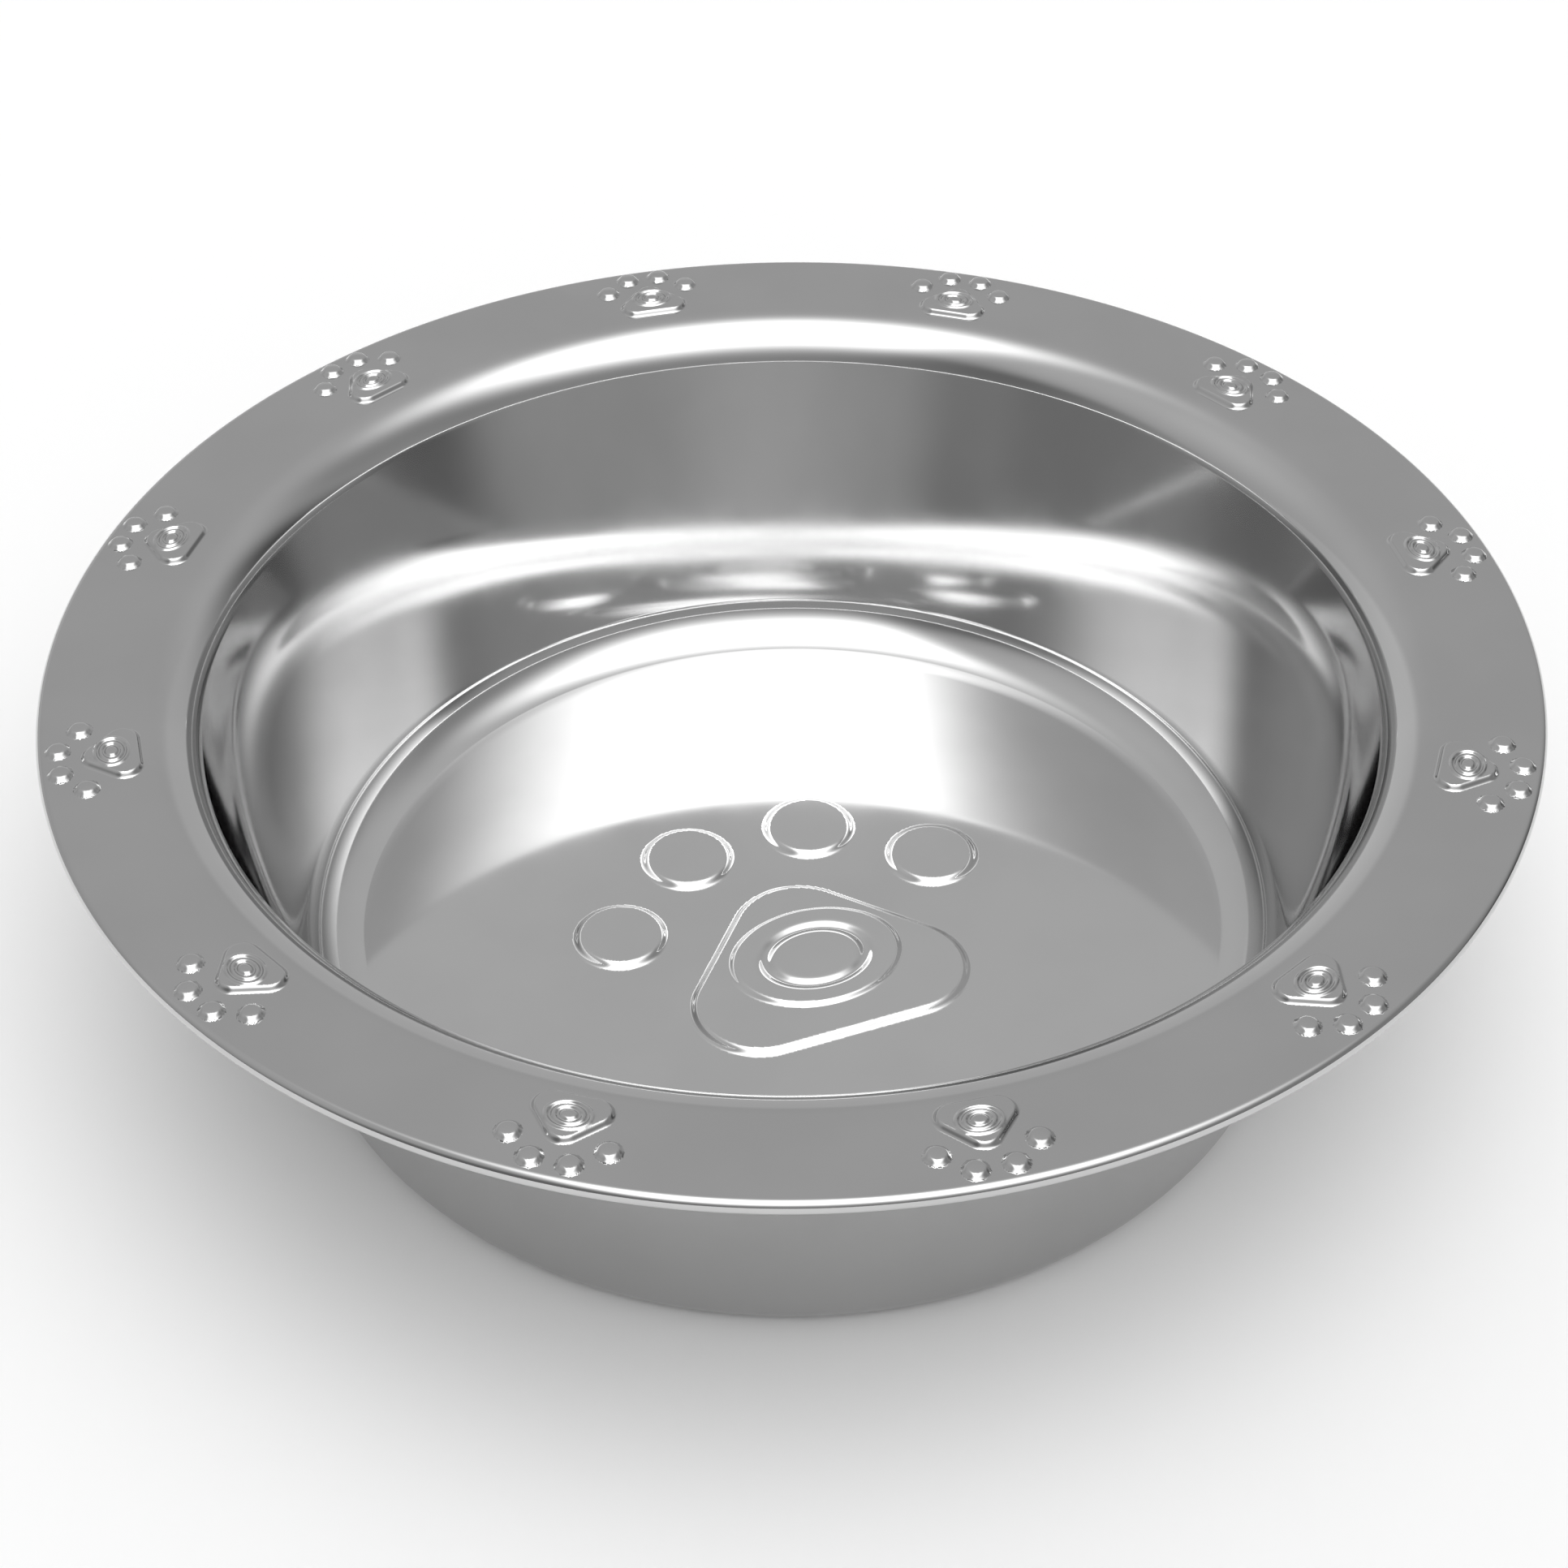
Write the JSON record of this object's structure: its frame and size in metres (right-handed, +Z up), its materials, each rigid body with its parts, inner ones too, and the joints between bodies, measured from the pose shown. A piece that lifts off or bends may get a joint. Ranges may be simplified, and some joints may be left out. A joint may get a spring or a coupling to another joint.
{
  "type": "dog bowl",
  "caption": "Round double-walled pet bowl with a wide flat rim, a rolled edge, paw prints pressed into the rim and floor, and a rubber ring under the base.",
  "frame": {"origin": "centre of the base, on the ground that the rubber ring stands on", "axes": "+Z up along the bowl's axis; +Y away from the viewer and +X to the viewer's right in the pictured view"},
  "size_m": [0.28, 0.28, 0.0814],
  "materials": {
    "steel": "mirror-polished stainless steel",
    "shell_steel": "mirror-polished stainless steel",
    "rubber": "matte black rubber"
  },
  "bodies": {
    "root": {"inner_bowl": "steel", "outer_shell": "shell_steel", "base_ring": "rubber"}
  },
  "joints": []
}
